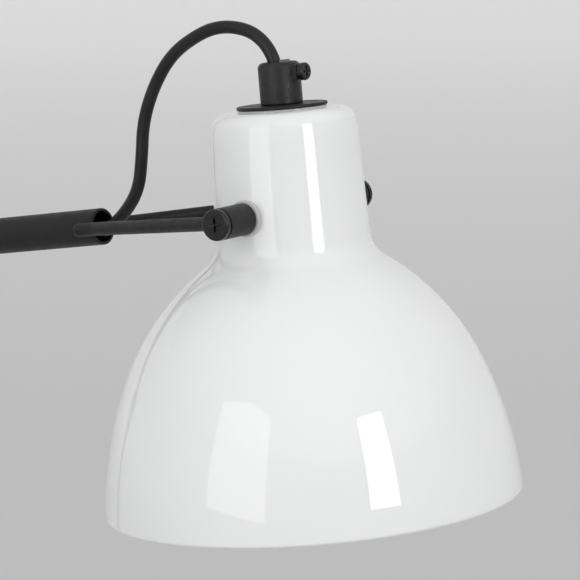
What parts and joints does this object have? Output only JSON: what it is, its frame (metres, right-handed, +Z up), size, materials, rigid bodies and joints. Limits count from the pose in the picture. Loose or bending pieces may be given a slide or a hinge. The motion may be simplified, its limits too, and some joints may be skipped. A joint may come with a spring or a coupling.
{
  "type": "adjustable arm floor lamp",
  "caption": "Floor lamp with a weighted round base, a pole, a tilting and turning arm, and a bell shade of opal glass held in a fork.",
  "frame": {"origin": "centre of the underside of the base pad, on the floor, on the pole's axis", "axes": "+Z up along the pole, +X along the arm towards the shade, Y along the tilt hinge and the shade's pivot"},
  "size_m": [0.6611, 0.27, 1.3282],
  "materials": {
    "black_metal": "matte black powder coat",
    "zinc_steel": "zinc plated",
    "black_oxide": "black oxide",
    "black_plastic": "moulded black plastic",
    "grey_plastic": "moulded grey plastic",
    "black_flex": "satin black flex sheath",
    "opal_glass": "glossy opal white",
    "clear_silicone": "clear silicone",
    "pad_foam": "foam sheet",
    "frosted_glass": "frosted",
    "cap_aluminium": "bright",
    "insulator": "matt ceramic",
    "contact_brass": "plain"
  },
  "bodies": {
    "stand": {"base_plate": "black_metal", "base_pad": "pad_foam", "base_bolt": "zinc_steel", "base_washer": "zinc_steel", "foot_plug": "zinc_steel", "foot_collar": "black_metal", "pole_lower": "black_metal", "pole_coupler": "black_metal", "pole_upper": "black_metal", "inlet_bush": "black_plastic", "pole_top_plug": "black_metal", "swivel_nipple": "zinc_steel", "swivel_washer": "black_plastic", "swivel_top_washer": "black_plastic", "swivel_nut": "zinc_steel", "pole_flex": "black_flex"},
    "swivel": {"clevis": "black_metal", "hinge_pin": "black_oxide", "hinge_washers": "black_plastic"},
    "knob": {"knob_handle": "black_plastic", "knob_stud": "black_oxide"},
    "arm": {"hinge_barrel": "black_metal", "arm_set_screw": "black_oxide", "arm_tube": "black_metal", "fork_rod_near": "black_metal", "fork_rod_far": "black_metal", "fork_boss_near": "black_metal", "fork_boss_far": "black_metal", "arm_flex": "black_flex", "head_flex": "black_flex"},
    "shade": {"shade_glass": "opal_glass", "top_disc": "black_metal", "top_gasket": "clear_silicone", "cord_grip": "black_plastic", "grip_insert": "black_plastic", "grip_screw": "black_oxide", "grip_tab": "grey_plastic", "pivot_screws": "black_oxide", "friction_washers": "black_plastic", "outer_washers": "clear_silicone", "inner_washers": "clear_silicone", "steel_washers": "zinc_steel", "pivot_nuts": "zinc_steel", "inner_gasket": "clear_silicone", "shade_nipple": "zinc_steel", "holder_cap": "black_plastic", "holder_shell": "black_plastic", "holder_insert": "insulator", "centre_contact": "contact_brass", "side_contact": "contact_brass", "terminal_screws": "zinc_steel", "bulb_cap": "cap_aluminium", "bulb_insulator": "insulator", "bulb_contact": "contact_brass", "bulb_glass": "frosted_glass", "shade_flex": "black_flex"}
  },
  "joints": [
    {"name": "arm_swivel", "type": "hinge", "parent": "stand", "child": "swivel", "pos_m": [0, 0, 1.18], "axis": [0, 0, 1], "range_deg": [-170, 170]},
    {"name": "arm_tilt", "type": "hinge", "parent": "swivel", "child": "arm", "pos_m": [0, 0, 1.18], "axis": [0, 1, 0], "range_deg": [-48, 46], "deforming": ["arm_flex"]},
    {"name": "knob_turn", "type": "hinge", "parent": "swivel", "child": "knob", "pos_m": [0, 0.026, 1.18], "axis": [0, 1, 0], "range_deg": [0, 180]},
    {"name": "shade_tilt", "type": "hinge", "parent": "arm", "child": "shade", "pos_m": [0.42429, 0, 1.24986], "axis": [0, 1, 0], "range_deg": [-55, 27], "deforming": ["head_flex"]}
  ]
}
